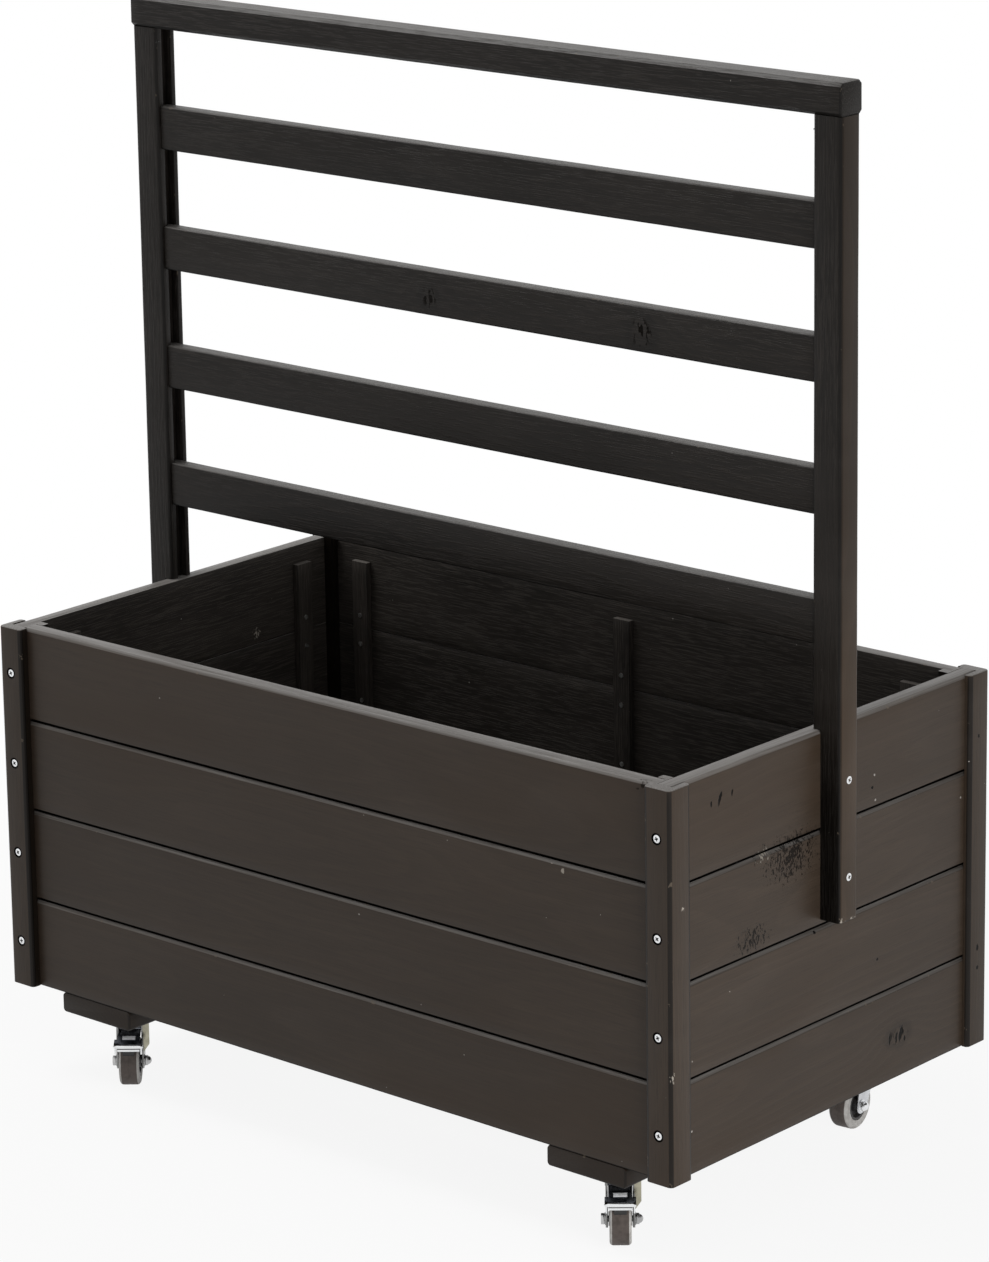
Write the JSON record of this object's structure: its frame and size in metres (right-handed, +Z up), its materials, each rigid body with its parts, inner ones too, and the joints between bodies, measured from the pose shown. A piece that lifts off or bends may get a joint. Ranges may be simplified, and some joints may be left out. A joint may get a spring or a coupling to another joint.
{
  "type": "rolling planter with trellis",
  "caption": "Dark stained wooden planter box of tongue-and-groove boards on small swivel casters, with a slatted trellis between two uprights.",
  "frame": {"origin": "on the floor under the middle of the box", "axes": "+X along the box to the right, +Y from the front to the back, +Z up"},
  "size_m": [0.912, 0.496, 1.097],
  "materials": {
    "stained_wood": "dark brown-black wood stain on pine, satin, with the grain showing",
    "zinc_steel": "bright zinc plating on pressed steel",
    "screw_steel": "bright zinc plating",
    "grey_rubber": "matte grey rubber",
    "black_plastic": "moulded, satin"
  },
  "bodies": {
    "planter": {"front_board_1": "stained_wood", "front_board_2": "stained_wood", "front_board_3": "stained_wood", "front_board_4": "stained_wood", "back_board_1": "stained_wood", "back_board_2": "stained_wood", "back_board_3": "stained_wood", "back_board_4": "stained_wood", "left_board_1": "stained_wood", "left_board_2": "stained_wood", "left_board_3": "stained_wood", "left_board_4": "stained_wood", "right_board_1": "stained_wood", "right_board_2": "stained_wood", "right_board_3": "stained_wood", "right_board_4": "stained_wood", "front_left_post": "stained_wood", "front_right_post": "stained_wood", "back_left_post": "stained_wood", "back_right_post": "stained_wood", "left_bearer": "stained_wood", "right_bearer": "stained_wood", "floor_boards": "stained_wood", "end_cleats": "stained_wood", "side_cleats": "stained_wood", "left_upright": "stained_wood", "right_upright": "stained_wood", "top_rail": "stained_wood", "slat_1": "stained_wood", "slat_2": "stained_wood", "slat_3": "stained_wood", "slat_4": "stained_wood", "post_screws": "screw_steel", "upright_screws": "screw_steel", "rail_screws": "screw_steel", "bearer_screws": "screw_steel", "caster_screws": "screw_steel", "cleat_nails": "screw_steel", "slat_pins": "screw_steel", "caster_plates": "zinc_steel", "kingpins": "zinc_steel"},
    "front_left_caster": {"front_left_fork": "zinc_steel", "front_left_axle": "zinc_steel"},
    "front_left_wheel": {"front_left_core": "black_plastic", "front_left_tyre": "grey_rubber"},
    "front_left_brake": {"front_left_pedal": "zinc_steel"},
    "front_right_caster": {"front_right_fork": "zinc_steel", "front_right_axle": "zinc_steel"},
    "front_right_wheel": {"front_right_core": "black_plastic", "front_right_tyre": "grey_rubber"},
    "front_right_brake": {"front_right_pedal": "zinc_steel"},
    "back_left_caster": {"back_left_fork": "zinc_steel", "back_left_axle": "zinc_steel"},
    "back_left_wheel": {"back_left_core": "black_plastic", "back_left_tyre": "grey_rubber"},
    "back_right_caster": {"back_right_fork": "zinc_steel", "back_right_axle": "zinc_steel"},
    "back_right_wheel": {"back_right_core": "black_plastic", "back_right_tyre": "grey_rubber"}
  },
  "joints": [
    {"name": "front_left_swivel", "type": "hinge", "parent": "planter", "child": "front_left_caster", "pos_m": [-0.328, -0.188, 0.07], "axis": [0, 0, 1], "continuous": true},
    {"name": "front_left_wheel_spin", "type": "hinge", "parent": "front_left_caster", "child": "front_left_wheel", "pos_m": [-0.31643, -0.20179, 0.025], "axis": [0.766, 0.6428, 0], "continuous": true},
    {"name": "front_left_brake_tilt", "type": "hinge", "parent": "front_left_caster", "child": "front_left_brake", "pos_m": [-0.32029, -0.19719, 0.058], "axis": [-0.766, -0.6428, 0], "range_deg": [0, 15]},
    {"name": "front_right_swivel", "type": "hinge", "parent": "planter", "child": "front_right_caster", "pos_m": [0.328, -0.188, 0.07], "axis": [0, 0, 1], "continuous": true},
    {"name": "front_right_wheel_spin", "type": "hinge", "parent": "front_right_caster", "child": "front_right_wheel", "pos_m": [0.33957, -0.20179, 0.025], "axis": [0.766, 0.6428, 0], "continuous": true},
    {"name": "front_right_brake_tilt", "type": "hinge", "parent": "front_right_caster", "child": "front_right_brake", "pos_m": [0.33571, -0.19719, 0.058], "axis": [-0.766, -0.6428, 0], "range_deg": [0, 15]},
    {"name": "back_left_swivel", "type": "hinge", "parent": "planter", "child": "back_left_caster", "pos_m": [-0.328, 0.188, 0.07], "axis": [0, 0, 1], "continuous": true},
    {"name": "back_left_wheel_spin", "type": "hinge", "parent": "back_left_caster", "child": "back_left_wheel", "pos_m": [-0.32334, 0.17061, 0.025], "axis": [0.9659, 0.2588, 0], "continuous": true},
    {"name": "back_right_swivel", "type": "hinge", "parent": "planter", "child": "back_right_caster", "pos_m": [0.328, 0.188, 0.07], "axis": [0, 0, 1], "continuous": true},
    {"name": "back_right_wheel_spin", "type": "hinge", "parent": "back_right_caster", "child": "back_right_wheel", "pos_m": [0.32988, 0.1701, 0.025], "axis": [0.9945, 0.1045, 0], "continuous": true}
  ]
}
